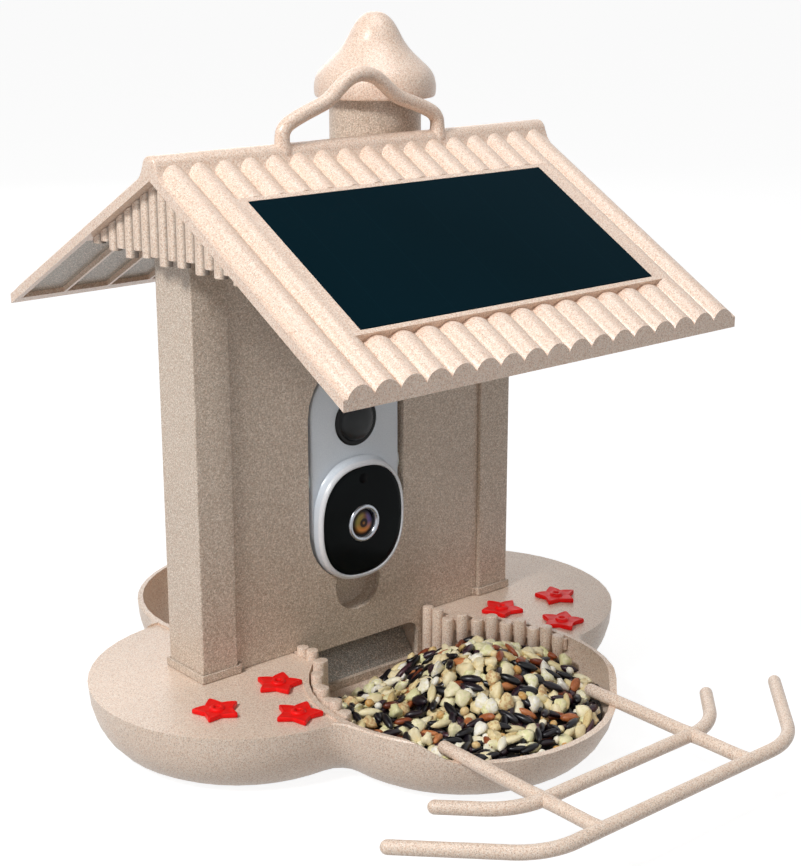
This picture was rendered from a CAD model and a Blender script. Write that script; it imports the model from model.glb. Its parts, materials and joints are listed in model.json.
"""Smart bird feeder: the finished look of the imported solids, in metres, in their own frame."""

import json
import math

import bmesh
import bpy
import numpy as np
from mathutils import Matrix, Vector

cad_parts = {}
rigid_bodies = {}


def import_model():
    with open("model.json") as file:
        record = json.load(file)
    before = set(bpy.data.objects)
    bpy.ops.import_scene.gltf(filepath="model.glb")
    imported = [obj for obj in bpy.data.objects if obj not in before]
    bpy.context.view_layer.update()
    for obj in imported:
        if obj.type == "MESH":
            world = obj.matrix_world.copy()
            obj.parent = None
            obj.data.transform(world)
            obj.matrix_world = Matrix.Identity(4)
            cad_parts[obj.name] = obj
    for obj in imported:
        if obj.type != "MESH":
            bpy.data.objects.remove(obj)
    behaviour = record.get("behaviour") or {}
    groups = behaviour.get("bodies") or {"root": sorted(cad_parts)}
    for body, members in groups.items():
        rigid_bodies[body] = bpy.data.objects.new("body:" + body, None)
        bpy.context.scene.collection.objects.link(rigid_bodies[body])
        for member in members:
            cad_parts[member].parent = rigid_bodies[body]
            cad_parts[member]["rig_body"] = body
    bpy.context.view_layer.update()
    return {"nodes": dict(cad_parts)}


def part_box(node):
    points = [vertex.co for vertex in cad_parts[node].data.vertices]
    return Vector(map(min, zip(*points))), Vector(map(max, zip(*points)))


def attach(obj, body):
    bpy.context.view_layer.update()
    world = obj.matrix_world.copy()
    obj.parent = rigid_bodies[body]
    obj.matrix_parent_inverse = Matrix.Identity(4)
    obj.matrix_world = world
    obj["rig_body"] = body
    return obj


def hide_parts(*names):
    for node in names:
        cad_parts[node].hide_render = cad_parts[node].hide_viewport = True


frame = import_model()
solids = frame["nodes"]

# Camera at the photograph's viewing angle, a pale floor that reaches past the horizon, and soft
# studio light: the key from the upper left, a broad lamp overhead, two weak fills, and a pale room.
eye = bpy.data.cameras.new("viewpoint")
eye.lens = 71.7
eye.sensor_width = 36.0
eye.clip_end = 100.0
viewpoint = bpy.data.objects.new("viewpoint", eye)
viewpoint.location = (-0.5572, -0.6916, 0.4082)
viewpoint.rotation_euler = (math.radians(90 - 16.24), 0.0, -math.radians(40.17))
bpy.context.scene.collection.objects.link(viewpoint)
bpy.context.scene.camera = viewpoint
bpy.context.scene.view_settings.view_transform = "Standard"


def linear(code):
    """sRGB hex such as "F0DCCD" as linear red, green, blue and alpha 1."""
    srgb = np.array([int(code[i:i + 2], 16) for i in (0, 2, 4)]) / 255.0
    light = np.where(srgb <= 0.04045, srgb / 12.92, ((srgb + 0.055) / 1.055) ** 2.4)
    return (*light.tolist(), 1.0)


def add(tree, kind, inputs=None, stops=(), **settings):
    """Add a shader node. An input's value is a node or socket to link from, or a value to set.

    stops are a colour ramp's (position, colour); a colour may be sRGB hex."""
    node = tree.nodes.new("ShaderNode" + kind)
    for key, value in settings.items():
        setattr(node, key, value)
    for key, value in (inputs or {}).items():
        if isinstance(value, bpy.types.Node):
            value = value.outputs[0]
        if isinstance(value, bpy.types.NodeSocket):
            tree.links.new(value, node.inputs[key])
        else:
            node.inputs[key].default_value = linear(value) if isinstance(value, str) else value
    while stops and len(node.color_ramp.elements) < len(stops):
        node.color_ramp.elements.new(0.5)
    for number, (position, colour) in enumerate(stops):
        node.color_ramp.elements[number].position = position
        node.color_ramp.elements[number].color = linear(colour) if isinstance(colour, str) else colour
    return node


def material(name, **values):
    """New material and its tree, with the given values on the Principled shader's own sockets."""
    made = bpy.data.materials.new(name)
    made.use_nodes = True
    shader = made.node_tree.nodes["Principled BSDF"]
    for key, value in values.items():
        shader.inputs[key.replace("_", " ")].default_value = value
    return made, made.node_tree, shader


CENTRE = (0.0, 0.0, 0.15)


def lamp(name, energy, size, place):
    """Round soft lamp at the place, aimed at the middle of the object."""
    light = bpy.data.lights.new(name, "AREA")
    light.energy = energy
    light.shape = "DISK"
    light.size = size
    obj = bpy.data.objects.new(name, light)
    obj.location = place
    obj.rotation_euler = (Vector(CENTRE) - Vector(place)).to_track_quat("-Z", "Y").to_euler()
    bpy.context.scene.collection.objects.link(obj)


lamp("left_key", 21.5, 0.40, (-1.28, -0.24, 1.36))
lamp("overhead_softbox", 6.8, 1.1, (0.05, -0.25, 1.75))
lamp("front_fill", 2.2, 1.3, (-0.8, -1.7, 0.45))
lamp("rear_fill", 4.0, 1.3, (0.9, 1.5, 0.9))

world = bpy.data.worlds.new("studio_room")
bpy.context.scene.world = world
world.use_nodes = True
room = world.node_tree
room.nodes.clear()
WHITE = (1.0, 1.0, 1.0, 1.0)


def is_looked_at(tree, *kinds):
    """1 for rays of the named kinds, such as the camera's and a mirror image's, and 0 for the rest."""
    path = add(tree, "LightPath")
    seen = path.outputs["Is Camera Ray"]
    for kind in kinds:
        seen = add(tree, "Math", {0: seen, 1: path.outputs[kind]}, operation="MAXIMUM")
    return seen


ROOM_LIGHT = 0.23
seen = is_looked_at(room, "Is Glossy Ray", "Is Transmission Ray")
strength = add(room, "MapRange", {"Value": seen, "To Min": ROOM_LIGHT, "To Max": 1.0})
backdrop = add(room, "Background", {"Color": WHITE, "Strength": strength})
add(room, "OutputWorld", {"Surface": backdrop})

FLOOR_REACH = 30.0
corners = [(FLOOR_REACH * x, FLOOR_REACH * y, 0.0) for x, y in ((-1, -1), (1, -1), (1, 1), (-1, 1))]
floor_mesh = bpy.data.meshes.new("studio_floor")
floor_mesh.from_pydata(corners, [], [(0, 1, 2, 3)])
studio_floor = bpy.data.objects.new("studio_floor", floor_mesh)
bpy.context.scene.collection.objects.link(studio_floor)
paper, tree, shader = material("white_paper_sweep", Roughness=1.0, Specular_IOR_Level=0.0)
PAPER_BOUNCE, PAPER_SEEN, PAPER_GLOW = 0.46, 0.24, 0.90
seen = is_looked_at(tree, "Is Glossy Ray")
shade = add(tree, "MapRange", {"Value": seen, "To Min": PAPER_BOUNCE, "To Max": PAPER_SEEN})
tree.links.new(shade.outputs[0], shader.inputs["Base Color"])
level = add(tree, "Math", {0: seen, 1: PAPER_GLOW}, operation="MULTIPLY")
glow = add(tree, "Emission", {"Color": WHITE, "Strength": level})
both = add(tree, "AddShader", {0: shader, 1: glow})
tree.links.new(both.outputs[0], tree.nodes["Material Output"].inputs["Surface"])
floor_mesh.materials.append(paper)


# Four-lobed base, with its tray, rear bowl and nectar reservoirs: injection moulded from a
# plant-fibre plastic, a pale plastic filled with milled husk that shows as fine brown, dark and
# white specks under a satin skin.
def plant_fibre(name, pale="ECD6C3", tan="D9B79C", dark="7A6352", planks=None, rough=0.38, gloss=0.60):
    """Moulded plant-fibre plastic: husk specks of 0.3 to 0.8 mm in a warm pale body.

    planks is the pitch of grooves across Y, one half pitch from the middle, that collect shade."""
    made, tree, shader = material(name, Roughness=rough, Specular_IOR_Level=gloss)
    place = add(tree, "TexCoord").outputs["Object"]
    mottle = add(tree, "TexNoise", {"Vector": place, "Scale": 1250.0, "Detail": 2.0, "Roughness": 0.7})
    broad = add(tree, "TexNoise", {"Vector": place, "Scale": 26.0, "Detail": 2.0})
    body = add(tree, "ValToRGB", {"Fac": mottle}, [(0.30, tan), (0.50, pale), (0.72, "F9E9DA")])
    shade = add(tree, "MapRange", {"Value": broad, "From Min": 0.3, "From Max": 0.7,
                                   "To Min": 0.965, "To Max": 1.02})
    body = add(tree, "VectorMath", {0: body, "Scale": shade}, operation="SCALE").outputs[0]
    for scale, reach, colour, share, strength in ((1500.0, 0.22, dark, 0.55, 0.55),
                                                  (1150.0, 0.20, "BE8E70", 0.58, 0.50),
                                                  (1300.0, 0.20, "FFF9EF", 0.60, 0.60)):
        cell = add(tree, "TexVoronoi", {"Vector": place, "Scale": scale})
        pick = add(tree, "SeparateColor", {"Color": cell.outputs["Color"]})
        chosen = add(tree, "Math", {0: pick, 1: share}, operation="GREATER_THAN")
        near = add(tree, "MapRange", {"Value": cell, "From Min": reach, "From Max": reach + 0.26,
                                      "To Min": strength, "To Max": 0.0})
        amount = add(tree, "Math", {0: chosen, 1: near}, operation="MULTIPLY")
        body = add(tree, "Mix", {0: amount, 6: body, 7: colour}, data_type="RGBA").outputs[2]
    if planks:
        across = add(tree, "SeparateXYZ", {"Vector": place}).outputs["Y"]
        aside = add(tree, "Math", {0: across, 1: planks / 2}, operation="PINGPONG")
        groove = add(tree, "MapRange", {"Value": aside, "From Min": 0.30 * planks,
                                        "From Max": 0.49 * planks, "To Min": 1.0, "To Max": 0.22})
        body = add(tree, "VectorMath", {0: body, "Scale": groove}, operation="SCALE").outputs[0]
    tree.links.new(body, shader.inputs["Base Color"])
    grain = add(tree, "TexNoise", {"Vector": place, "Scale": 900.0, "Detail": 2.0})
    bump = add(tree, "Bump", {"Height": grain, "Strength": 0.12, "Distance": 0.0002})
    tree.links.new(bump.outputs[0], shader.inputs["Normal"])
    return made


husk_plastic = plant_fibre("moulded_plant_fibre_plastic")


def settle(name, mesh, merge=0.00002, crease=34.0, rounding=0.0, flat_angle=0.0):
    """Weld a mesh, turn its faces outwards, shade it smooth up to the crease angle and link it.

    Faces that meet within the flat angle become one face first."""
    bm = bmesh.new()
    bm.from_mesh(mesh)
    bmesh.ops.remove_doubles(bm, verts=bm.verts, dist=merge)
    if flat_angle:
        bmesh.ops.dissolve_limit(bm, angle_limit=math.radians(flat_angle), verts=bm.verts, edges=bm.edges)
    bmesh.ops.dissolve_degenerate(bm, dist=merge / 10, edges=bm.edges)
    bmesh.ops.recalc_face_normals(bm, faces=bm.faces)
    bm.to_mesh(mesh)
    bm.free()
    mesh.shade_smooth()
    obj = bpy.data.objects.new(name, mesh)
    bpy.context.scene.collection.objects.link(obj)
    if rounding:
        bevel = obj.modifiers.new("rounded_edges", "BEVEL")
        bevel.width = rounding
        bevel.segments = 2
        bevel.limit_method = "ANGLE"
        bevel.angle_limit = math.radians(crease)
        mesh.set_sharp_from_angle(angle=math.radians(85.0))
    else:
        mesh.set_sharp_from_angle(angle=math.radians(crease))
    return obj


def dressed(node, look, crease=40.0, rounding=0.0):
    """Welded copy of a solid, with its flat faces made whole and its edges rounded."""
    solid = solids[node].data
    mesh = bpy.data.meshes.new(node + "_finished")
    mesh.from_pydata([tuple(corner.co) for corner in solid.vertices], [],
                     [tuple(face.vertices) for face in solid.polygons])
    mesh.materials.append(look)
    mount(settle(node + "_finished", mesh, 0.00001, crease, rounding, flat_angle=0.3), node)


def mount(piece, *nodes):
    """The piece stands for the nodes: it rides on their body and takes their material slot."""
    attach(piece, solids[nodes[0]]["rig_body"])
    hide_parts(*nodes)


def repaint(look, *nodes):
    """Give the solids that stay as they are their material."""
    for node in nodes:
        solids[node].data.materials.clear()
        solids[node].data.materials.append(look)


dressed("base_shell", husk_plastic, crease=34.0)
repaint(husk_plastic, "reservoir_floor_left", "reservoir_floor_right")


# Screws of the reservoir floors and of the camera unit: plain turned steel, lightly brushed, so
# they reflect softly with a fine streak.
def clouded(name, low, high, scale, detail=1.0, **values):
    """Material whose colour drifts between two hex colours with a noise of the given scale."""
    made, tree, shader = material(name, **values)
    place = add(tree, "TexCoord").outputs["Object"]
    cloud = add(tree, "TexNoise", {"Vector": place, "Scale": scale, "Detail": detail})
    body = add(tree, "ValToRGB", {"Fac": cloud}, [(0.3, low), (0.7, high)])
    tree.links.new(body.outputs[0], shader.inputs["Base Color"])
    return made


screw_steel = clouded("plain_turned_steel", "8E9093", "C4C6C8", 1400.0, 2.0, Metallic=1.0, Roughness=0.34)
repaint(screw_steel, "floor_screw_left", "floor_screw_right", *[f"camera_screw_{k}" for k in (1, 2, 3, 4)])


# Nectar flowers: five soft petals round a raised feeding ring with a hole, moulded in bright red
# polypropylene and pressed into the deck. The petals dish slightly and shine a little.
def skin(name, grids, look, tint=None, wrapped=True, **settings):
    """Mesh over grids of rows x columns x 3 points; a wrapped grid's rows are closed rings.

    tint is a value for each point, kept in an attribute of that name."""
    points, faces, first = [], [], 0
    for grid in map(np.asarray, grids):
        rows, columns = grid.shape[:2]
        index = first + np.arange(rows * columns).reshape(rows, columns)
        if wrapped:
            index = np.hstack([index, index[:, :1]])
        quads = np.stack([index[:-1, :-1], index[:-1, 1:], index[1:, 1:], index[1:, :-1]], -1)
        points.append(grid.reshape(-1, 3))
        faces.append(quads.reshape(-1, 4))
        first += rows * columns
    mesh = bpy.data.meshes.new(name)
    mesh.from_pydata(np.vstack(points).tolist(), [], np.vstack(faces).tolist())
    if tint is not None:
        mesh.attributes.new("tint", "FLOAT", "POINT").data.foreach_set("value", tint)
    mesh.materials.append(look)
    return settle(name, mesh, **settings)


petal_red = clouded("moulded_red_polypropylene", "F00606", "FB1410", 180.0, 2.0, Roughness=0.42,
                    Specular_IOR_Level=0.25, Subsurface_Weight=0.12, Subsurface_Scale=0.002)
PETAL_REACH, PETAL_NOTCH, RING_RADIUS, BORE_RADIUS, STEM = 0.0129, 0.0076, 0.0037, 0.0015, 0.0093
FLOWERS = {"left_1": (-0.12099, -0.03356, 20.0), "left_2": (-0.07897, -0.02773, -12.0),
           "left_3": (-0.09227, -0.06257, 50.0), "right_1": (0.11698, -0.03345, 8.0),
           "right_2": (0.07897, -0.02773, 34.0), "right_3": (0.09227, -0.06257, -20.0)}


def flower(node, x, y, turned_by):
    """Star swept round its axis: the outline runs straight from each petal's tip to the notch.

    Rows run from the bore's foot, over the ring and the dished petals, round the rim and back
    under; each is (radius, share of the way from there to the outline, height)."""
    low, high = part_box(node)
    turn = np.linspace(0.0, math.tau, 120, endpoint=False)
    petal = math.tau / 5
    aside = np.abs((turn + math.pi / 2 - math.radians(turned_by) + petal / 2) % petal - petal / 2)
    outline = PETAL_REACH * PETAL_NOTCH * math.sin(petal / 2) / (
        PETAL_REACH * np.sin(aside) + PETAL_NOTCH * np.sin(petal / 2 - aside))
    outline = np.minimum(outline, PETAL_REACH * 0.96)
    crease = 0.0005 * (2 * aside / petal) ** 3
    deck, top = low.z + STEM, high.z
    rows = [(BORE_RADIUS, 0.0, deck), (BORE_RADIUS, 0.0, top - 0.0004), (BORE_RADIUS + 0.0004, 0.0, top),
            (RING_RADIUS - 0.0008, 0.0, top), (RING_RADIUS, 0.0, top - 0.0006),
            (RING_RADIUS + 0.0001, 0.0, deck + 0.0020)]
    rows += [(RING_RADIUS, share, deck + 0.0019 + 0.0005 * share ** 2) for share in (0.2, 0.4, 0.6, 0.8)]
    rows += [(RING_RADIUS, share, deck + rise) for share, rise in (
        (0.93, 0.0024), (0.985, 0.0021), (1.0, 0.0016), (1.0, 0.0002), (0.97, 0.0))]
    radius, share, z = np.array([*rows, (BORE_RADIUS, 0.0, deck)]).T[:, :, None]
    reach = radius + (outline - radius) * share
    dip = np.where(z > deck + 0.001, crease * share, 0.0)
    grid = np.stack([x + reach * np.cos(turn), y + reach * np.sin(turn), z - dip], -1)
    mount(skin(node + "_petals", [grid], petal_red, crease=50.0), node)


for which, (x, y, turned_by) in FLOWERS.items():
    flower("flower_port_" + which, x, y, turned_by)

# Picket fences round the back of the tray, and the house's walls: front panel, hollow columns,
# plinths, hopper, ramp and funnels, all of the same plastic with edges rounded by the mould.
POST_SKIN, POST_CORE, POST_FOOT, POST_ROUND = 0.00325, 0.0018, 0.0215, 0.0004
POST_COUNT, FENCE_RADIUS, FENCE_HALF_WIDTH, FENCE_START_Y = 11, 0.074525, 0.0446, 0.0010
FENCE_END = math.radians(-1.0)
TRAY_Y = -0.080


def post_rows():
    """Centre, top and neck of each post: equal steps down the alcove's side, then round the tray."""
    turn = math.acos(FENCE_HALF_WIDTH / FENCE_RADIUS)
    straight = FENCE_START_Y - (TRAY_Y + FENCE_RADIUS * math.sin(turn))
    number = np.arange(POST_COUNT)
    along = (straight + FENCE_RADIUS * (turn - FENCE_END)) * (number + 0.5) / POST_COUNT
    angle = turn - np.maximum(along - straight, 0.0) / FENCE_RADIUS
    x = FENCE_RADIUS * np.cos(angle)
    y = np.where(along < straight, FENCE_START_Y - along, TRAY_Y + FENCE_RADIUS * np.sin(angle))
    top = np.where(number % 2, 0.0402, 0.0372)
    neck = np.where(number < 3, 0.0120, 0.0280)
    top[0], neck[3], neck[-1] = 0.0392, 0.0245, 0.0310
    return zip(x, y, top, neck)


def turned(profile, centre, steps=96):
    """Surface of revolution about an upright axis; profile rows are (radius, height)."""
    turn = np.linspace(0.0, math.tau, steps, endpoint=False)
    profile = np.asarray(profile, float)
    radius, height = profile[:, :1], profile[:, 1:]
    return np.stack([centre[0] + radius * np.cos(turn), centre[1] + radius * np.sin(turn),
                     height + 0 * turn], -1)


def posts(node, side):
    """Round posts: each is a circle carried up from a thinner foot to a flat top with a soft edge."""
    grids = []
    for x, y, top, neck in post_rows():
        foot = min(POST_FOOT, neck - 0.0005)
        rows = [(0.0, foot), (POST_CORE, foot), (POST_SKIN, neck), (POST_SKIN, top - POST_ROUND),
                (POST_SKIN - POST_ROUND * 0.3, top - POST_ROUND * 0.3), (POST_SKIN - POST_ROUND, top),
                (0.0, top)]
        grids.append(turned(rows, (side * x, y), 20))
    mount(skin(node + "_posts", grids, husk_plastic, crease=50.0), node)


for node, side in (("picket_fence_left", -1), ("picket_fence_right", 1)):
    dressed(node, husk_plastic, crease=28.0)
    posts(node, side)
wall_plastic = plant_fibre("moulded_plant_fibre_plastic_of_the_walls", "CDBBA9", "B39D88", "64543F")
inner_plastic = plant_fibre("unpolished_inner_plant_fibre_sheet", "9C958A", "7F786D", "4A443D")
PLANK_PITCH = 0.0076471
plank_plastic = plant_fibre("moulded_plant_fibre_plastic_of_the_gables", planks=PLANK_PITCH)
dressed("front_panel", wall_plastic, crease=34.0)
for node, rounding in (("column_left", 0.0009), ("column_right", 0.0009), ("plinth_left", 0.0004),
                       ("plinth_right", 0.0004), ("hopper_back", 0.0005)):
    dressed(node, wall_plastic, rounding=rounding)
dressed("camera_cradle", wall_plastic, crease=30.0)
for node in ("gable_left", "gable_right"):
    dressed(node, plank_plastic, crease=50.0)
repaint(inner_plastic, "seed_ramp", "funnel_left", "funnel_right")

# Loose mixed seed heaped in the tray: black rice, red-brown grain, pale oats, three-sided
# buckwheat and small round millet lie as single grains over a bed of the same seed.
HEAP_RADIUS, SEED_REACH, FENCE_REACH = 0.0715, 0.0718, 0.0680
CROWN_X, CROWN_RISE, CROWN_RADIUS = 0.0151, 0.0148, 0.0525
HOLLOW = (-0.0200, -0.0135, 0.0200, 0.0440)
draw = np.random.default_rng(20817)


def heap_height(x, y):
    """Edge height that rises towards the house, plus a cosine crown, less a bell-shaped hollow."""
    ahead = np.clip((y - TRAY_Y + HEAP_RADIUS / 2) / HEAP_RADIUS, 0.0, 1.0)
    edge = 0.0243 + 0.0030 * ahead * ahead * (3 - 2 * ahead)
    reach = np.minimum(1.0, np.hypot(x - CROWN_X, y - TRAY_Y) / CROWN_RADIUS)
    crown = CROWN_RISE * np.maximum(0.0, 0.5 + 0.5 * np.cos(math.pi * reach)) ** 0.75
    hollow = np.hypot(x - HOLLOW[0], y - HOLLOW[1]) / HOLLOW[3]
    return edge + crown - HOLLOW[2] * np.exp(-hollow ** 2)


def tinted(name, roughness, stops, **values):
    """Seed coat whose colour follows each grain's own tint, with a fine mottle along it."""
    made, tree, shader = material(name, Roughness=roughness, **values)
    tint = add(tree, "Attribute", attribute_name="tint").outputs["Fac"]
    place = add(tree, "TexCoord").outputs["Object"]
    mottle = add(tree, "TexNoise", {"Vector": place, "Scale": 700.0, "Detail": 3.0})
    mixed = add(tree, "MapRange", {"Value": mottle, "From Min": 0.25, "From Max": 0.75,
                                   "To Min": -0.16, "To Max": 0.16})
    total = add(tree, "Math", {0: tint, 1: mixed}, operation="ADD", use_clamp=True)
    coat = add(tree, "ValToRGB", {"Fac": total}, stops)
    tree.links.new(coat.outputs[0], shader.inputs["Base Color"])
    return made


rice_black = tinted("black_rice_bran", 0.30, [(0.0, "08070B"), (0.60, "120E15"), (0.85, "2C1722"),
                                              (1.0, "4A2630")], Specular_IOR_Level=0.35)
grain_brown = tinted("red_brown_grain_bran", 0.42, [(0.0, "5A2412"), (0.5, "93461F"), (1.0, "CC8450")])
oat_pale = tinted("hulled_oat", 0.45, [(0.0, "CFAE70"), (0.35, "EEDCA6"), (0.7, "F8EDC6"),
                                       (1.0, "FDF8E4")])
buckwheat_pale = tinted("hulled_buckwheat", 0.45, [(0.0, "CFA472"), (0.10, "EBD6A0"), (0.45, "F8EDC9"),
                                                   (0.70, "E2E0A4"), (0.85, "F6EFD0"), (1.0, "FFFBF0")])
millet_pale = tinted("millet_and_chips", 0.5, [(0.0, "CE9A52"), (0.5, "F3E1AE"), (1.0, "FEFBF0")])


def grain_shape(kind):
    """Unit grain along x: rings of an ellipse whose size follows a rounded taper; buckwheat's
    rings are three-sided and shrink to a point at one end."""
    around = np.linspace(0.0, math.tau, 9 if kind == "buckwheat" else 7, endpoint=False)
    along = np.linspace(0.0, 1.0, 7)
    if kind == "buckwheat":
        taper = np.sin(math.pi * np.clip(along * 0.9 + 0.1, 0, 1)) ** 0.7 * (1.1 - 0.45 * along)
        ring = 1.0 / (1.0 + 0.30 * np.cos(3 * around))
        ring = ring / ring.max()
    else:
        power = {"rice": 0.52, "oat": 0.66, "grain": 0.5, "millet": 0.5}[kind]
        taper = np.sin(math.pi * along) ** power
        ring = np.ones_like(around)
    taper[[0, -1]] = 0.0
    x = (along - 0.5)[:, None] + 0 * around
    groove = 0.16 * np.exp(-((around - math.pi / 2) / 0.35) ** 2) if kind in ("oat", "grain") else 0.0
    y = taper[:, None] * ring * np.cos(around) * 0.5
    z = taper[:, None] * ring * (1.0 - groove) * np.sin(around) * 0.5
    return np.stack([x, y, z], -1)


def rotated(points, first, second, angles):
    """Each grain's points turned by its angle in the plane of two axes, from the first to the second."""
    turned_points = points.copy()
    cosine, sine = np.cos(angles)[:, None], np.sin(angles)[:, None]
    turned_points[..., first] = points[..., first] * cosine - points[..., second] * sine
    turned_points[..., second] = points[..., first] * sine + points[..., second] * cosine
    return turned_points


def fence_or_rim(y):
    """How far grains may lie from the tray's middle: to the posts at the back, to the rim in front."""
    return np.where(y > -0.006, FENCE_REACH, SEED_REACH)


def scatter(name, kind, places, sizes, look, lean):
    """All grains of one kind as one mesh: the unit grain scaled, turned and set down for each place.

    Beside the rim a grain lies along it, and each leans with the heap's slope."""
    unit = grain_shape(kind)
    rows, columns = unit.shape[:2]
    count = len(places)
    length = draw.uniform(*sizes[0], count)
    width = draw.uniform(*sizes[1], count)
    depth = width * draw.uniform(0.78, 0.98, count)
    yaw = draw.uniform(0, math.tau, count)
    pitch = draw.normal(0, lean, count)
    roll = draw.uniform(0, math.tau, count)
    x, y = places[:, 0], places[:, 1]
    beside_rim = np.hypot(x, y - TRAY_Y) > fence_or_rim(y - TRAY_Y) - 0.006
    along_rim = np.arctan2(y - TRAY_Y, x) + math.pi / 2 + draw.normal(0, 0.25, count)
    local = unit.reshape(1, -1, 3) * np.stack([length, width, depth], -1)[:, None, :]
    local = rotated(local, 1, 2, roll)
    local = rotated(local, 2, 0, pitch)
    local = rotated(local, 0, 1, np.where(beside_rim, along_rim, yaw))
    step = 0.002
    slope_x = (heap_height(x + step, y) - heap_height(x - step, y)) / (2 * step)
    slope_y = (heap_height(x, y + step) - heap_height(x, y - step)) / (2 * step)
    local[..., 2] += local[..., 0] * slope_x[:, None] + local[..., 1] * slope_y[:, None]
    grids = (local + places[:, None, :]).reshape(count, rows, columns, 3)
    tint = np.repeat(draw.uniform(0, 1, count), rows * columns).astype(np.float32)
    return skin(name, grids, look, tint, merge=0.000004, crease=70.0)


def seed_places(pitch, lift, keep):
    """Jittered triangular lattice over the heap, each point lifted off the heap's surface."""
    span = np.arange(-SEED_REACH, SEED_REACH + pitch, pitch)
    x, y = np.meshgrid(span, span * math.sqrt(3) / 2 * 1.16)
    x = x + pitch / 2 * (np.arange(len(span)) % 2)[:, None]
    x = x.ravel() + draw.normal(0, pitch * 0.25, x.size)
    y = y.ravel() + draw.normal(0, pitch * 0.25, y.size)
    inside = np.hypot(x, y) < fence_or_rim(y)
    inside &= draw.random(x.size) < keep
    x, y = x[inside], y[inside]
    reach = np.hypot(x, y)
    edge = 0.003 * np.clip((reach - HEAP_RADIUS + 0.004) / 0.008, 0, 1)
    inward = 0.0016 * np.clip((HEAP_RADIUS - reach) / 0.020, 0.0, 1.0)
    y = y + TRAY_Y
    shoulder = 0.0030 * np.exp(-(np.hypot(x + 0.052, y + 0.066) / 0.020) ** 2)
    unevenness = draw.normal(0, 0.0006, x.size)
    return np.stack([x, y, heap_height(x, y) + lift + inward + shoulder + unevenness - edge], -1)


lower = seed_places(0.0060, -0.0016, 1.0)
upper = seed_places(0.0078, 0.0014, 0.94)
under_rail = (np.abs(np.abs(upper[:, 0]) - 0.0510) < 0.0075) & (upper[:, 1] < -0.114)
everything = np.vstack([lower, upper[~under_rail]])
crown = np.clip((everything[:, 2] - 0.026) / 0.010, 0.0, 1.0)
front_left = np.clip(0.5 - everything[:, 0] / 0.06 - (everything[:, 1] - TRAY_Y) / 0.09, 0.0, 1.0)
shares = np.stack([0.36 + 0.14 * front_left - 0.14 * crown, 0.10 + 0 * crown, 0.13 + 0.04 * crown,
                   0.28 + 0.20 * crown, 0.11 + 0 * crown], -1)
shares = np.cumsum(shares / shares.sum(1, keepdims=True), 1)
kinds = (draw.random(len(everything))[:, None] > shares[:, :-1]).sum(1)
GRAINS = (("black_rice", "rice", ((0.0110, 0.0140), (0.0039, 0.0049)), rice_black, 0.20),
          ("red_brown_grain", "grain", ((0.0098, 0.0122), (0.0042, 0.0051)), grain_brown, 0.20),
          ("pale_oats", "oat", ((0.0130, 0.0160), (0.0044, 0.0053)), oat_pale, 0.16),
          ("buckwheat", "buckwheat", ((0.0084, 0.0102), (0.0080, 0.0096)), buckwheat_pale, 0.5),
          ("millet", "millet", ((0.0042, 0.0055), (0.0038, 0.0049)), millet_pale, 0.6))
for number, (name, kind, sizes, look, lean) in enumerate(GRAINS):
    mount(scatter(name, kind, everything[kinds == number], sizes, look, lean), "seed_heap")

BED_SUNK, BED_FLOOR, BED_TAPER = 0.0052, 0.006, 0.86
turn = np.linspace(0.0, math.tau, 72, endpoint=False)
reaches = np.array([0.001, 0.012, 0.024, 0.036, 0.046, 0.054, 0.060, 0.066, 0.070, 0.0735])
bed_x, bed_y = reaches[:, None] * np.cos(turn), reaches[:, None] * np.sin(turn)
bed_top = np.stack([bed_x, TRAY_Y + bed_y, heap_height(bed_x, TRAY_Y + bed_y) - BED_SUNK], -1)
bed_low = bed_top[[-1, 0]] * (BED_TAPER, BED_TAPER, 0.0) + (0.0, TRAY_Y * (1 - BED_TAPER), BED_FLOOR)
seed_bed_look = tinted("bed_of_mixed_seed", 0.6, [(0.0, "120E12"), (0.4, "2A1C1A"), (0.7, "8A6A48"),
                                                  (1.0, "D9C696")])
mount(skin("seed_bed", [np.vstack([bed_top, bed_low])], seed_bed_look), "seed_heap")


# Perch whose rails lie in the tray rim's notches: two swept cross bars on two rails, one moulding,
# with rounded ends and a small fillet where bars and rails cross.
def carried(path, radius, side, steps=20, swell=1.0):
    """Round bar along a path: circles square to the path, closed by half-round ends.

    side is a fixed direction square to the whole path; swell scales the radius along it."""
    path = np.asarray(path, float)
    ahead = np.gradient(path, axis=0)
    ahead /= np.linalg.norm(ahead, axis=1)[:, None]
    side = np.asarray(side, float)
    across = np.cross(ahead, side)
    size = radius * swell * np.ones(len(path))
    dome = np.radians([90, 75, 55, 35, 15])
    centres = np.vstack([path[0] - ahead[0] * size[0] * np.sin(dome)[:, None], path,
                         path[-1] + ahead[-1] * size[-1] * np.sin(dome[::-1])[:, None]])
    sizes = np.concatenate([size[0] * np.cos(dome), size, size[-1] * np.cos(dome[::-1])])
    across = np.vstack([np.repeat(across[:1], 5, 0), across, np.repeat(across[-1:], 5, 0)])
    turn = np.linspace(0.0, math.tau, steps, endpoint=False)
    ring = np.cos(turn)[None, :, None] * side + np.sin(turn)[None, :, None] * across[:, None, :]
    return centres[:, None, :] + sizes[:, None, None] * ring


BAR_RADIUS, PERCH_Z, RAIL_X = 0.0034, 0.0283, 0.0510
OUTER_BAR = (-0.2290, 0.135, 0.0515)
INNER_BAR = (-0.1930, 0.096, 0.029)
BEND, RAIL_START_Y, FILLET = 0.040, -0.1249, 0.0045


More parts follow.
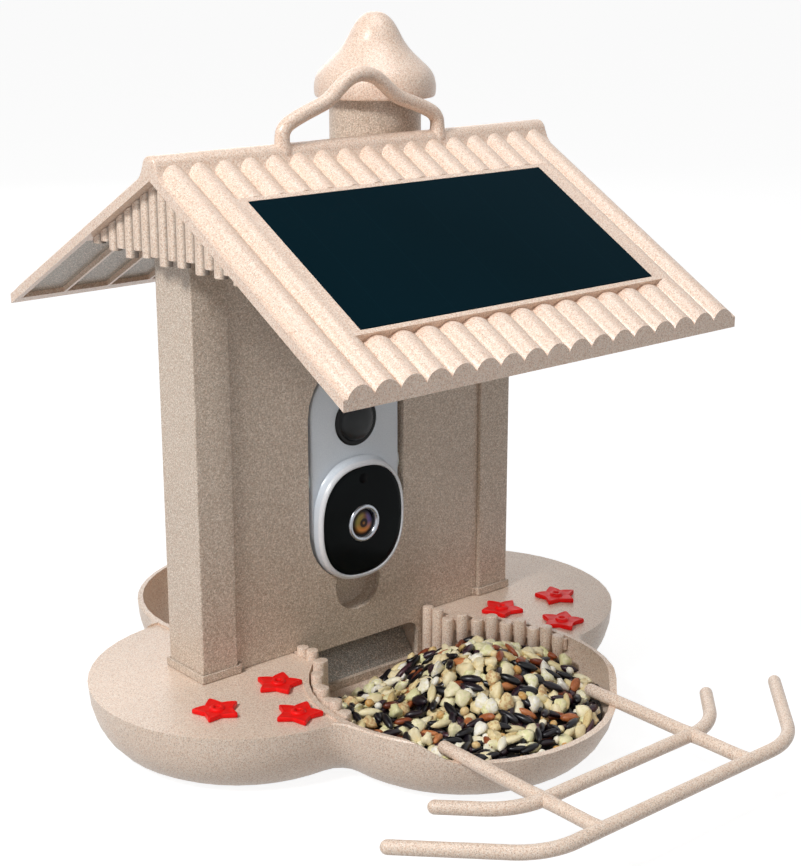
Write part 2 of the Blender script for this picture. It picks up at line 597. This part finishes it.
def swept_bar(y, reach, sweep):
    """Straight bar whose ends turn back by 45 degrees through a round bend."""
    turn = math.radians(45)
    straight = reach - sweep / math.tan(turn) - BEND * math.tan(turn / 2)
    angle = np.linspace(0.0, turn, 14)
    bend = np.stack([straight + BEND * np.sin(angle), y + BEND - BEND * np.cos(angle)], -1)
    end = np.array([[reach - BAR_RADIUS * 0.7, y + sweep - BAR_RADIUS * 0.7]])
    half = np.vstack([bend, np.linspace(bend[-1], end[0], 6)[1:]])
    full = np.vstack([half[::-1] * (-1, 1), np.linspace((-straight, y), (straight, y), 24)[1:-1], half])
    return np.column_stack([full, np.full(len(full), PERCH_Z)])


bars = [carried(swept_bar(*bar), BAR_RADIUS, (0, 0, 1)) for bar in (OUTER_BAR, INNER_BAR)]
for side in (-1, 1):
    run = np.linspace(RAIL_START_Y, OUTER_BAR[0] + 0.0006, 40)
    fillets = sum(np.exp(-((run - bar[0]) / FILLET) ** 2) for bar in (OUTER_BAR, INNER_BAR))
    rail = np.stack([np.full_like(run, side * RAIL_X), run, np.full_like(run, PERCH_Z)], -1)
    bars.append(carried(rail, BAR_RADIUS, (0, 0, 1), swell=1 + 0.10 * fillets))
mount(skin("perch_bars", bars, husk_plastic, crease=60.0), "perch")

# Two ribbed roof slopes: arched ribs with rounded ends run down each sheet, and the front one
# breaks off round the raised frame of the solar panel. The underside is cored into bays.
HALF_ROOF, EAVE_Y, APEX_Z, EAVE_Z = 0.127, 0.145, 0.2959, 0.2144
SHEET, RIB_RISE, RIB_PITCH, RIB_COUNT = 0.0046, 0.0046, 0.01467, 17
PANEL_X, PANEL_TOP, PANEL_END = 0.0945, 0.0340, 0.1288
FRAME_X, FRAME_MARGIN, FRAME_LEVEL, PANEL_SEAT, PANEL_PLAY = 0.103, 0.0032, 0.0088, 0.0057, 0.0003
FRAME_LOW, FRAME_HIGH = PANEL_TOP - FRAME_MARGIN, PANEL_END + FRAME_MARGIN
CORE_DEPTH, CORE_START, LIP, CORE_RIB, CORES = 0.0026, 0.019, 0.0036, 0.0020, 9
PAD_X, PAD_END = 0.1158, 0.0766
TILT = math.atan2(APEX_Z - EAVE_Z, EAVE_Y)
SLOPE = math.hypot(APEX_Z - EAVE_Z, EAVE_Y)
STEP = 0.00004
HALF_RIB, CORE_PITCH = RIB_PITCH / 2, 2 * (HALF_ROOF - LIP) / CORES


def steps_at(*edges):
    """Grid lines just before and just after each edge, for an upright step."""
    return [edge + shift for edge in edges for shift in (-STEP, STEP)]


def rib_top(u, v, framed):
    """Height of the sheet: each rib is an arc across, and a ball of the same arc at its ends."""
    radius = (HALF_RIB ** 2 + RIB_RISE ** 2) / (2 * RIB_RISE)
    number = np.clip(np.round(u / RIB_PITCH), -(RIB_COUNT // 2), RIB_COUNT // 2)
    broken = (np.abs(number) < RIB_COUNT // 2 - 1) & framed
    in_frame = (v > FRAME_LOW) & (v < FRAME_HIGH)
    below = v > (FRAME_LOW + FRAME_HIGH) / 2
    start = np.where(broken & below, FRAME_HIGH + HALF_RIB * 0.75, HALF_RIB * 0.55)
    away = np.hypot(u - number * RIB_PITCH, np.maximum(0.0, start - v))
    rib = np.sqrt(np.maximum(radius ** 2 - away ** 2, 0.0)) - (radius - RIB_RISE)
    on_rib = (away < HALF_RIB) & (np.abs(u) <= RIB_COUNT * HALF_RIB) & ~(broken & in_frame)
    height = SHEET + np.where(on_rib, np.maximum(rib, 0.0), 0.0)
    if framed:
        raised = in_frame & (np.abs(u) < FRAME_X)
        height = np.where(raised, np.maximum(height, FRAME_LEVEL), height)
        seat = (v > PANEL_TOP - PANEL_PLAY) & (v < PANEL_END + PANEL_PLAY)
        height = np.where(seat & (np.abs(u) < PANEL_X + PANEL_PLAY), PANEL_SEAT, height)
    return height


def rib_under(u, v):
    """Underside: shallow cored bays between thin ribs, solid at the lip, the ridge and the gables."""
    bay = np.floor((u + HALF_ROOF - LIP) / CORE_PITCH)
    within = (u + HALF_ROOF - LIP) - bay * CORE_PITCH
    width = np.where(bay == CORES - 1, CORE_PITCH, CORE_PITCH - CORE_RIB)
    cored = (bay >= 0) & (bay < CORES) & (within < width) & (v > CORE_START) & (v < SLOPE - 2 * LIP)
    pad = (np.abs(u) > PAD_X) & (v < PAD_END)
    return np.where(cored & ~pad, CORE_DEPTH, 0.0)


def ribbed_slope(name, side, framed):
    """Closed sheet over a grid of u along the ridge and v down the slope: rib_top above, rib_under
    below, upright faces at the ridge, the eave and the gable ends. The bays are left unpolished."""
    u = [(k - RIB_COUNT / 2 + share) * RIB_PITCH for k in range(RIB_COUNT)
         for share in (0.0, 0.05, 0.12, 0.2, 0.3, 0.4, 0.5, 0.6, 0.7, 0.8, 0.88, 0.95)]
    u += [RIB_COUNT * HALF_RIB, -HALF_ROOF, HALF_ROOF, -HALF_ROOF + 0.0006, HALF_ROOF - 0.0006]
    first = -HALF_ROOF + LIP
    u += steps_at(*[first + k * CORE_PITCH for k in range(CORES + 1)])
    u += steps_at(*[first + k * CORE_PITCH - CORE_RIB for k in range(1, CORES)], -PAD_X, PAD_X)
    v = [0.004, 0.010, *steps_at(PAD_END), 0.090, 0.110, 0.122]
    v += list(HALF_RIB * (np.array([0.0, 0.04, 0.12, 0.24, 0.38, 0.54, 0.72, 0.9, 1.0]) - 0.45))
    v += steps_at(CORE_START, SLOPE - 2 * LIP)
    if framed:
        u += steps_at(-FRAME_X, FRAME_X, -PANEL_X - PANEL_PLAY, PANEL_X + PANEL_PLAY)
        v += steps_at(FRAME_LOW, FRAME_HIGH, PANEL_TOP - PANEL_PLAY, PANEL_END + PANEL_PLAY)
        v += list(FRAME_HIGH + HALF_RIB * (np.array([0.3, 0.42, 0.56, 0.72, 0.88, 1.0]) - 0.25))
    u, v = np.unique(np.round(u, 6)), np.unique(np.round(v, 6))
    v = v[(v > 0.0035) & (v < SLOPE - 0.006)]
    grid_u, grid_v = np.meshgrid(u, v)
    top = rib_top(grid_u, grid_v, framed)
    out, down = math.sin(TILT), math.cos(TILT)

    def to_world(a, b, h):
        """Point a along the ridge, b down the slope and h above the underside's plane."""
        return np.stack([a, side * (b * down + h * out), APEX_Z - b * out + h * down], -1)

    ridge_top = to_world(u, -top[0] * out / down, top[0])[None]
    ridge_low = to_world(u, 0 * u, 0 * u)[None]
    eave_top = to_world(u, (EAVE_Y - top[-1] * out) / down, top[-1])[None]
    eave_low = to_world(u, 0 * u + EAVE_Y / down, 0 * u)[None]
    rows = np.vstack([ridge_low, ridge_top, to_world(grid_u, grid_v, top), eave_top, eave_low,
                      to_world(grid_u, grid_v, rib_under(grid_u, grid_v))[::-1], ridge_low])
    count = len(v) + 2
    ends = [np.stack([edge[1:1 + count], edge[count + 1:][::-1][:count]], 1)
            for edge in (rows[:, 0], rows[:, -1])]
    slope = skin(name, [rows, *ends], roof_plastic, wrapped=False, merge=0.000004, crease=38.0)
    slope.data.materials.append(inner_plastic)
    for face in slope.data.polygons:
        depth = (face.center.z - APEX_Z) * down + abs(face.center.y) * out
        face.material_index = int(abs(depth - CORE_DEPTH) < 0.0002 and face.normal.z < -0.5)
    return slope


roof_plastic = plant_fibre("moulded_plant_fibre_plastic_of_the_roof", "EED3BF", "D8B294", "8A6F5C",
                           rough=0.30, gloss=0.85)
mount(ribbed_slope("ribbed_front_slope", -1, True), "roof_front")
rear_slope = ribbed_slope("ribbed_rear_slope", 1, False)


# Chimney over the hopper, a plain round pipe through the rear slope, and its lift-off cap: a
# smooth bell with a knob-like crown and a skirt that drops over the pipe.
def eased(knots, count):
    """Catmull-Rom curve through the knots, evenly divided."""
    knots = np.asarray(knots, float)
    ends = np.vstack([2 * knots[0] - knots[1], knots, 2 * knots[-1] - knots[-2]])
    t = np.linspace(0.0, len(knots) - 1, count)
    k = np.minimum(t.astype(int), len(knots) - 2)
    t = (t - k)[:, None]
    a, b, c, d = ends[k], ends[k + 1], ends[k + 2], ends[k + 3]
    square, cube = 2 * a - 5 * b + 4 * c - d, 3 * b - a - 3 * c + d
    return 0.5 * (2 * b + (c - a) * t + square * t ** 2 + cube * t ** 3)


CHIMNEY = (0.0395, 0.0365)
PIPE_RADIUS, PIPE_WALL, PIPE_FOOT, PIPE_TOP = 0.0248, 0.0020, 0.2560, 0.3330
HOLE_RADIUS, HOLE_LOW, HOLE_HIGH = PIPE_RADIUS - 0.0004, 0.20, 0.36
drill = [(0.0, HOLE_LOW), (HOLE_RADIUS, HOLE_LOW), (HOLE_RADIUS, HOLE_HIGH), (0.0, HOLE_HIGH)]
cutter = skin("chimney_hole", [turned(drill, CHIMNEY, 64)], roof_plastic)
hole = rear_slope.modifiers.new("chimney_hole", "BOOLEAN")
hole.object = cutter
bpy.context.view_layer.update()
bored = bpy.data.meshes.new_from_object(rear_slope.evaluated_get(bpy.context.evaluated_depsgraph_get()))
rear_slope.modifiers.clear()
rear_slope.data = bored
bpy.data.objects.remove(cutter, do_unlink=True)
bored.set_sharp_from_angle(angle=math.radians(38.0))
mount(rear_slope, "roof_back")

PIPE_BORE, PIPE_ROUND = PIPE_RADIUS - PIPE_WALL, 0.0006
pipe = [(PIPE_BORE, PIPE_FOOT), (PIPE_BORE, PIPE_TOP - PIPE_ROUND), (PIPE_BORE + PIPE_ROUND, PIPE_TOP),
        (PIPE_RADIUS - PIPE_ROUND, PIPE_TOP), (PIPE_RADIUS, PIPE_TOP - PIPE_ROUND),
        (PIPE_RADIUS, PIPE_FOOT), (PIPE_BORE, PIPE_FOOT)]
mount(skin("chimney_pipe", [turned(pipe, CHIMNEY)], wall_plastic), "chimney")

CAP_RADIUS, CAP_LOW, CAP_HEIGHT = 0.0328, 0.3230, 0.0442
BELL = ((0.000, 1.000), (0.080, 0.995), (0.168, 0.972), (0.250, 0.925), (0.315, 0.868), (0.385, 0.785),
        (0.475, 0.660), (0.590, 0.545), (0.735, 0.440), (0.880, 0.340), (0.965, 0.245), (1.000, 0.130),
        (0.994, 0.030), (0.975, 0.000))
bell = eased([(CAP_RADIUS * r, CAP_LOW + CAP_HEIGHT * h) for r, h in BELL], 60)
bell[:, 0] = np.maximum(bell[:, 0], 0.0)
bell[0, 0] = 0.0
hollow = [(0.0312, CAP_LOW), (0.0304, CAP_LOW + 0.0008), (0.0304, CAP_LOW + 0.0088), (0.0271, 0.3366),
          (0.0, 0.3366)]
mount(skin("chimney_bell_cap", [turned(np.vstack([bell, hollow]), CHIMNEY)], roof_plastic, crease=45.0),
      "chimney_cap")

# Ridge roll over the two slopes: a round roll with softened ends that flares into the sheets at
# its foot, closed below by the ridge's V.
ROLL_RADIUS, ROLL_TOP, FLARE_REACH, SUNK_IN = 0.0060, 0.3076, 0.0098, 0.0020
angle = np.linspace(math.radians(12.0), math.radians(168.0), 25)
slope_at = (APEX_Z - EAVE_Z) / EAVE_Y


def over_slope(reach, lift):
    """Point of the section that lies lift above the slopes' V at the given reach from the ridge."""
    return reach, APEX_Z - abs(reach) * slope_at + lift / math.cos(TILT)


flare = [over_slope(-0.0072, SHEET + 0.0013), over_slope(-0.0084, SHEET + 0.0005),
         over_slope(-FLARE_REACH, SHEET + 0.0001)]
under = [over_slope(-FLARE_REACH, SUNK_IN), over_slope(0.0, SUNK_IN), over_slope(FLARE_REACH, SUNK_IN)]
arc = np.stack([ROLL_RADIUS * np.cos(angle), ROLL_TOP - ROLL_RADIUS + ROLL_RADIUS * np.sin(angle)], -1)
section = np.vstack([arc, flare, under, [(-y, z) for y, z in flare[::-1]]])
middle = np.array([0.0, ROLL_TOP - ROLL_RADIUS + 0.001])
upper_half = (np.arange(len(section)) < len(arc))[:, None]
rolls = []
for x, inset in ((-1.0, 1.0), (-1.0, 0.14), (-0.9985, 0.07), (-0.995, 0.02), (-0.990, 0.0), (0.990, 0.0),
                 (0.995, 0.02), (0.9985, 0.07), (1.0, 0.14), (1.0, 1.0)):
    drawn_in = section + (middle - section) * np.where(upper_half | (inset == 1.0), inset, 0.0)
    rolls.append(np.column_stack([np.full(len(section), (HALF_ROOF + 0.0001) * x), drawn_in]))
mount(skin("ridge_roll_soft", [rolls], roof_plastic, crease=45.0), "ridge_roll")

# Hanging handle: one round bar of the roof's plastic that rises from two swelled feet on the ridge
# to a low arch.
HANDLE_Y, HANDLE_RADIUS, HANDLE_SPAN = -0.0015, 0.0038, 0.0505
HANDLE_FOOT, HANDLE_TOP = 0.3030, 0.3388
ARCH = ((1.000, 0.000), (1.005, 0.160), (0.998, 0.270), (0.955, 0.360), (0.870, 0.430), (0.730, 0.510),
        (0.570, 0.590), (0.460, 0.650), (0.360, 0.745), (0.260, 0.860), (0.150, 0.955), (0.000, 1.000))
half = [(HANDLE_SPAN * x, HANDLE_Y, HANDLE_FOOT + (HANDLE_TOP - HANDLE_FOOT) * z) for x, z in ARCH]
knots = half + [(-x, y, z) for x, y, z in half[-2::-1]]
bow = eased(knots, 90)
rise = (bow[:, 2] - HANDLE_FOOT) / (HANDLE_TOP - HANDLE_FOOT)
handle = carried(bow, HANDLE_RADIUS, (0, 1, 0), 24, 1 + 0.28 * np.exp(-(rise / 0.10) ** 2))
mount(skin("hanging_handle", [handle], roof_plastic, crease=60.0), "hanger_handle")

# Solar panel: dark cells under a clear laminated sheet, bedded in the raised frame. The cells show
# as near-black blue-green with hardly visible strips; the clear sheet is smooth and glossy.
solar_glass, tree, shader = material("laminated_solar_cells", Roughness=0.25, Specular_IOR_Level=0.006)
place = add(tree, "TexCoord").outputs["Object"]
across = add(tree, "SeparateXYZ", {"Vector": place}).outputs["X"]
strip = add(tree, "TexNoise", {"Vector": place, "Scale": 9.0, "Detail": 1.0})
cells = add(tree, "ValToRGB", {"Fac": strip}, [(0.35, "031A22"), (0.65, "041D26")])
STRIP_WIDTH = PANEL_X / 5
line = add(tree, "Math", {0: across, 1: STRIP_WIDTH}, operation="PINGPONG")
thin = add(tree, "MapRange", {"Value": line, "From Min": 0.0, "From Max": 0.0004, "To Min": 0.30,
                              "To Max": 0.0})
body = add(tree, "Mix", {0: thin, 6: cells, 7: "0C2A33"}, data_type="RGBA")
tree.links.new(body.outputs[2], shader.inputs["Base Color"])
dressed("solar_panel", solar_glass, rounding=0.0003)

# Junction box, dock connector, lead, lens barrel, speaker and button: plain black mouldings, and
# seals and port cover of black silicone. Fine spark-eroded grain keeps them matt.
def grained(name, code, roughness, scale=1500.0, strength=0.08, **values):
    """Moulded plastic or rubber with a fine even grain."""
    made, tree, shader = material(name, Roughness=roughness, **values)
    place = add(tree, "TexCoord").outputs["Object"]
    grain = add(tree, "TexNoise", {"Vector": place, "Scale": scale, "Detail": 2.0})
    colour = np.array(linear(code))
    light = tuple(np.minimum(colour * 1.14, 1.0))
    dark = (*(colour[:3] * 0.88), 1.0)
    body = add(tree, "ValToRGB", {"Fac": grain}, [(0.35, dark), (0.65, light)])
    tree.links.new(body.outputs[0], shader.inputs["Base Color"])
    bump = add(tree, "Bump", {"Height": grain, "Strength": strength, "Distance": 0.0001})
    tree.links.new(bump.outputs[0], shader.inputs["Normal"])
    return made


matt_black = grained("spark_grained_black_abs", "17181A", 0.55)
black_silicone = grained("black_silicone", "141414", 0.7)
dressed("solar_lead", matt_black, crease=70.0)
dressed("junction_box", matt_black, rounding=0.0006)
dressed("dock_connector", matt_black)
dressed("power_button", matt_black)
dressed("usb_cover", black_silicone, rounding=0.0004)
repaint(matt_black, "camera_speaker")
repaint(black_silicone, "cap_seal", "shell_seal")

# Circuit board and battery cells, sealed inside the camera unit: green solder mask, and steel
# cans in a blue sleeve.
repaint(grained("green_solder_mask", "1C6B3C", 0.4, 400.0), "camera_board")
repaint(grained("blue_heat_shrink_sleeve", "2C63B8", 0.35, 300.0), "battery_cell_left",
        "battery_cell_right")

# Camera unit's shells: silver-grey painted ABS with a satin gloss. The lower half swells forward
# into a drum whose bright bezel holds the black window.
silver_paint = clouded("silver_grey_painted_abs", "D3DBE4", "E0E7EE", 1800.0, Roughness=0.32,
                       Specular_IOR_Level=0.6, Coat_Weight=0.2, Coat_Roughness=0.15)
bezel_paint = clouded("bright_silver_bezel", "DEE1E6", "E9EBEF", 1800.0, Roughness=0.28,
                      Specular_IOR_Level=0.6)
CAMERA_X, LOW_Z, HIGH_Z, HALF_WIDTH, SHELL_ROUND = -0.0029, 0.1018, 0.162, 0.030, 0.0012
FACE_Y, SPLIT_Y, DRUM_Y, LENS_Z = 0.0023, 0.0088, -0.0043, 0.1004
DRUM_HALF_X, DRUM_HALF_Z, DRUM_FLARE = 0.0294, 0.0331, 0.0022
WINDOW_X, WINDOW_Z = 0.0269, 0.0303
CLOSED = 0.001  # half size of the small ring that shuts the end of a surface
around = np.linspace(0.0, math.tau, 120, endpoint=False)


def pill(radius, y):
    """Upright pill outline at depth y: half rounds of the radius about the two centres."""
    turn = np.concatenate([np.linspace(0.0, math.pi, 49), np.linspace(math.pi, math.tau, 49)])
    centre = np.where(np.sin(turn) >= 0, HIGH_Z, LOW_Z)
    return np.stack([CAMERA_X + radius * np.cos(turn), 0 * turn + y, centre + radius * np.sin(turn)], -1)


def superellipse(half_x, half_z, y, power=2.4, middle=LOW_Z):
    """Closed outline |x/a|^p + |z/b|^p = 1 about the height middle, at depth y."""
    c, s = np.cos(around), np.sin(around)
    return np.stack([CAMERA_X + half_x * np.sign(c) * np.abs(c) ** (2 / power), 0 * c + y,
                     middle + half_z * np.sign(s) * np.abs(s) ** (2 / power)], -1)


def drum_ring(inset, y, flare=0.0):
    """Outline of the drum drawn in by the inset, its upper half lifted where it flares into the face."""
    ring = superellipse(DRUM_HALF_X - inset, DRUM_HALF_Z - inset, y)
    ring[:, 2] += DRUM_FLARE * flare * np.clip(np.sin(around), 0, 1) ** 0.7
    return ring


shell = [(0.0, SPLIT_Y), (HALF_WIDTH - 0.0004, SPLIT_Y), (HALF_WIDTH, SPLIT_Y - 0.0004)]
shell += [(HALF_WIDTH - SHELL_ROUND * (1 - math.cos(bend)), FACE_Y + SHELL_ROUND * (1 - math.sin(bend)))
          for bend in np.radians([0, 20, 40, 60, 75, 90])]
shell += [(HALF_WIDTH * 0.6, FACE_Y), (0.0, FACE_Y)]
shell = [pill(radius, y) for radius, y in shell]
drum = [superellipse(CLOSED, CLOSED, FACE_Y + 0.0055)]
drum += [drum_ring(0.0, FACE_Y + ahead, flare) for ahead, flare in (
    (0.0055, 0.0), (-0.0002, 0.0), (-0.0004, 0.85), (-0.0010, 0.45), (-0.0020, 0.18), (-0.0034, 0.0))]
drum += [drum_ring(0.0, DRUM_Y + 0.0021), superellipse(CLOSED, CLOSED, DRUM_Y + 0.0034)]
mount(skin("camera_front_housing", [shell, drum], silver_paint, crease=42.0), "camera_front_shell")
bezel = [superellipse(CLOSED, CLOSED, DRUM_Y + 0.0034)]
bezel += [drum_ring(inset, DRUM_Y + behind)
          for inset, behind in ((0.0, 0.0021), (0.0004, 0.0009), (0.0010, 0.0003), (0.0016, 0.0))]
bezel += [superellipse(WINDOW_X + outset, WINDOW_Z + outset, DRUM_Y + behind)
          for outset, behind in ((0.0005, 0.00005), (0.0002, 0.0004), (0.0002, 0.0030))]
bezel.append(superellipse(CLOSED, CLOSED, DRUM_Y + 0.0030))
mount(skin("window_bezel", [bezel], bezel_paint, crease=42.0), "camera_front_shell")
dressed("camera_rear_shell", silver_paint)

# Camera window: polished black acrylic over the whole drum, with the lens in its bright turned
# ring and a small dark eye for the light sensor above it.
black_acrylic = clouded("polished_black_acrylic", "080D0F", "0C1214", 60.0, 2.0, Roughness=0.15,
                        Specular_IOR_Level=0.05)
RING_OUT, RING_IN, RING_PLAY = 0.0104, 0.0078, 0.0002
RING_SEAT = RING_OUT + RING_PLAY
GLASS_Y, GLASS_BACK_Y, SENSOR_Z = DRUM_Y + 0.0004, DRUM_Y + 0.0020, LOW_Z + 0.0238
window = [superellipse(RING_SEAT + (WINDOW_X - RING_OUT) * share, RING_SEAT + (WINDOW_Z - RING_OUT) * share,
                       GLASS_Y - 0.0003 * (1 - share ** 2), 2.0 + 0.4 * share,
                       LENS_Z + (LOW_Z - LENS_Z) * share) for share in (0.0, 0.3, 0.6, 0.85, 0.97)]
window += [superellipse(WINDOW_X, WINDOW_Z, y) for y in (GLASS_Y + 0.0003, GLASS_BACK_Y)]
window += [superellipse(RING_SEAT, RING_SEAT, GLASS_BACK_Y, 2.0, LENS_Z), window[0]]
mount(skin("camera_window_gloss", [window], black_acrylic, crease=45.0), "camera_window")


def facing(name, profile, z, y, look, node, crease=50.0):
    """Surface of revolution about the camera's front-to-back axis at the height z, for the node;
    profile rows are (radius, reach forward of y)."""
    grid = turned(profile, (CAMERA_X, z), 64)[..., [0, 2, 1]] * (1, -1, 1) + (0, y, 0)
    mount(skin(name, [grid], look, crease=crease), node)


dark_eye = grained("smoked_sensor_glass", "020203", 0.4, 900.0, 0.0, Specular_IOR_Level=0.04)
eye_rows = [(0.0, 0.0004), (0.0024, 0.00035), (0.0028, 0.0001), (0.0028, -0.004), (0.0, -0.004)]
facing("light_sensor_eye", eye_rows, SENSOR_Z, GLASS_Y, dark_eye, "light_sensor")
turned_ring = clouded("bright_turned_aluminium", "9BA0A8", "B4B8BF", 2500.0, Metallic=0.85, Roughness=0.26)
ring_rows = [(RING_IN, -0.0016), (RING_IN, 0.0004), (RING_IN + 0.0005, 0.0011), (RING_IN + 0.0010, 0.0014),
             (RING_OUT - 0.0008, 0.0014), (RING_OUT - 0.0002, 0.0011), (RING_OUT, 0.0004),
             (RING_OUT, -0.0016), (RING_IN, -0.0016)]
facing("lens_bezel_ring", ring_rows, LENS_Z, GLASS_Y, turned_ring, "lens_ring")
barrel_rows = [(0.0077, -0.0017), (0.0077, -0.0060), (0.0, -0.0060), (0.0, -0.0052), (0.0036, -0.0050),
               (0.0048, -0.0038), (0.0055, -0.0038), (0.0063, -0.0026), (0.0069, -0.0026),
               (0.0075, -0.0012), (0.0077, -0.0012), (0.0077, -0.0017)]
facing("stepped_lens_barrel", barrel_rows, LENS_Z, GLASS_Y, matt_black, "lens_barrel", crease=30.0)


# Lens: coated glass that shows a yellow-green, orange and violet play of colour round a dark pupil,
# a shallow dome in the mouth of the barrel.
def from_axis(tree, z, reach):
    """X and Z distances from the camera's axis at the height z, and the share of the reach away."""
    place = add(tree, "TexCoord").outputs["Object"]
    centred = add(tree, "Mapping", {"Vector": place, "Location": (-CAMERA_X, 0.0, -z)})
    offset = add(tree, "SeparateXYZ", {"Vector": centred}).outputs
    flat = add(tree, "CombineXYZ", {"X": offset["X"], "Z": offset["Z"]})
    away = add(tree, "VectorMath", {0: flat}, operation="LENGTH").outputs["Value"]
    share = add(tree, "MapRange", {"Value": away, "From Min": 0.0, "From Max": reach})
    return offset["X"], offset["Z"], share


LENS_RADIUS, LENS_EDGE_Y, LENS_RISE = 0.0075, 0.0012, 0.0016
coated_glass, tree, shader = material("coated_lens_glass", Roughness=0.08, Specular_IOR_Level=0.10,
                                      Coat_Weight=0.12, Coat_Roughness=0.02)
aside, above, away = from_axis(tree, LENS_Z, LENS_RADIUS)
sideways = add(tree, "MapRange", {"Value": aside, "From Min": -0.005, "From Max": 0.005})
play = add(tree, "ValToRGB", {"Fac": sideways}, [(0.0, "A39A4A"), (0.38, "B9A050"), (0.6, "8A6048"),
                                                 (0.8, "7A62A8"), (1.0, "4A3C86")])
below = add(tree, "MapRange", {"Value": above, "From Min": 0.0005, "From Max": -0.0040})
warm = add(tree, "Mix", {0: below, 6: play, 7: "F2A25C"}, data_type="RGBA").outputs[2]
bands = add(tree, "ValToRGB", {"Fac": away}, [
    (0.0, (1.0, 0.95, 0.85, 1)), (0.08, (0.9, 0.6, 0.4, 1)), (0.14, (0.06, 0.03, 0.02, 1)),
    (0.30, (0.05, 0.04, 0.04, 1)), (0.38, (0.8, 0.75, 0.7, 1)), (0.60, (1, 1, 1, 1)),
    (0.82, (0.10, 0.09, 0.10, 1)), (1.0, (0.005, 0.005, 0.006, 1))])
body = add(tree, "Mix", {0: 1.0, 6: warm, 7: bands}, data_type="RGBA", blend_type="MULTIPLY")
tree.links.new(body.outputs[2], shader.inputs["Base Color"])
dome = [(LENS_RADIUS * math.sin(t), -LENS_EDGE_Y + LENS_RISE * math.cos(t))
        for t in np.linspace(0.0, math.pi / 2, 14)]
facing("coated_front_lens", [*dome, (LENS_RADIUS, -0.0018), (0.0, -0.0018)], LENS_Z, GLASS_Y,
       coated_glass, "camera_lens")

# Motion-sensor dome: dark polyethylene that lets infrared through, moulded as a shallow dome in a
# thin black rim and set into the turret's face.
PIR_Z, PIR_RADIUS, PIR_RISE = 0.1568, 0.0140, 0.0044
pir_plastic, tree, shader = material("dark_infrared_polyethylene", Roughness=0.25, Specular_IOR_Level=0.16)
away = from_axis(tree, PIR_Z, PIR_RADIUS)[2]
core = add(tree, "ValToRGB", {"Fac": away}, [(0.0, "35383A"), (0.70, "2A2C2E"), (0.80, "0E0F10"),
                                             (1.0, "0A0A0B")])
tree.links.new(core.outputs[0], shader.inputs["Base Color"])
dome = [(PIR_RADIUS * 0.80 * math.sin(t), 0.0010 + (PIR_RISE - 0.0010) * math.cos(t))
        for t in np.linspace(0.0, math.pi / 2, 12)]
rim = [(PIR_RADIUS * 0.84, 0.0007), (PIR_RADIUS * 0.90, 0.0011), (PIR_RADIUS * 0.97, 0.0009),
       (PIR_RADIUS, 0.0003), (PIR_RADIUS, -0.0016), (0.0, -0.0016)]
facing("motion_sensor_dome", dome + rim, PIR_Z, FACE_Y, pir_plastic, "pir_dome", crease=60.0)

# Side grips: moulded buttons of translucent white silicone on the shell's flanks, where fingers
# pull the camera unit out.
grip_rubber = grained("translucent_white_silicone", "EEF3F3", 0.45, 900.0, 0.04,
                      Subsurface_Weight=0.3, Subsurface_Scale=0.003)
dressed("side_grip_left", grip_rubber, rounding=0.0005)
dressed("side_grip_right", grip_rubber, rounding=0.0005)
